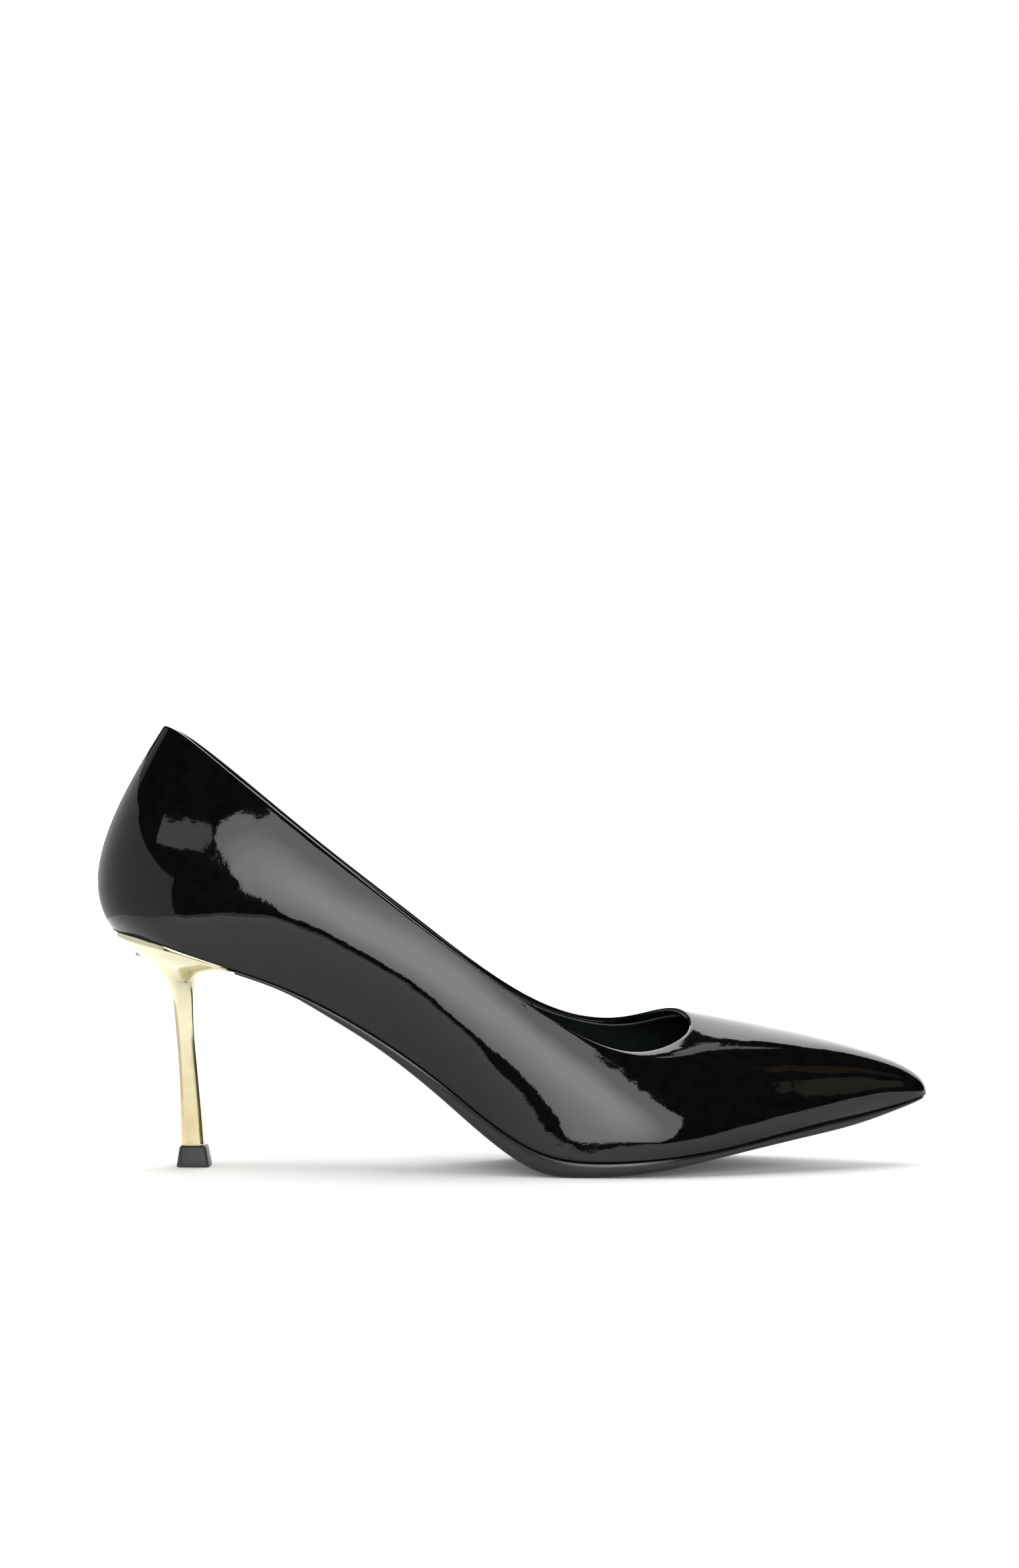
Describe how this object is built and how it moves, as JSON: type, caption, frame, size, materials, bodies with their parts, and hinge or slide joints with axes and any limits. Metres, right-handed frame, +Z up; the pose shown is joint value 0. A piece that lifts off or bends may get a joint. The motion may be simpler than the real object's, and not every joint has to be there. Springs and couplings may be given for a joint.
{
  "type": "high heel pump",
  "caption": "Pointed patent court shoe for the right foot with a slim plated stiletto heel, a low curved topline and a thin black sole.",
  "frame": {"origin": "on the ground under the middle of the shoe's length and width", "axes": "+X from heel to toe, +Y towards the inner (medial) side of the foot, +Z up"},
  "size_m": [0.2478, 0.0736, 0.1319],
  "materials": {
    "patent_leather": "black patent, mirror gloss",
    "lining_leather": "very dark green, satin",
    "tape_fabric": "plain woven cotton",
    "stiffener_board": "resin-filled fibre sheet",
    "insole_fibreboard": "cellulose insole board",
    "shank_fibreboard": "hard shank board",
    "spring_steel": "plain bright steel",
    "filler_felt": "pressed felt",
    "foam": "cushioning foam",
    "sole_leather": "black, semi gloss",
    "gold_plated_heel": "pale gold plating on moulded plastic, mirror gloss",
    "lift_plastic": "matte charcoal"
  },
  "bodies": {
    "root": {"upper": "patent_leather", "topline_tape": "tape_fabric", "heel_counter": "stiffener_board", "interlining_lateral": "tape_fabric", "interlining_medial": "tape_fabric", "vamp_interlining": "tape_fabric", "toe_puff": "stiffener_board", "heel_grip": "lining_leather", "quarter_lining_lateral": "lining_leather", "quarter_lining_medial": "lining_leather", "vamp_lining": "lining_leather", "insole_board": "insole_fibreboard", "shank_board": "shank_fibreboard", "shank": "spring_steel", "shank_rivets": "spring_steel", "bottom_filler": "filler_felt", "insock_foam": "foam", "insock": "lining_leather", "outsole": "sole_leather", "heel": "gold_plated_heel", "heel_pin": "spring_steel", "top_lift": "lift_plastic", "top_lift_pin": "spring_steel", "heel_screw": "spring_steel", "heel_nails": "spring_steel"}
  },
  "joints": []
}
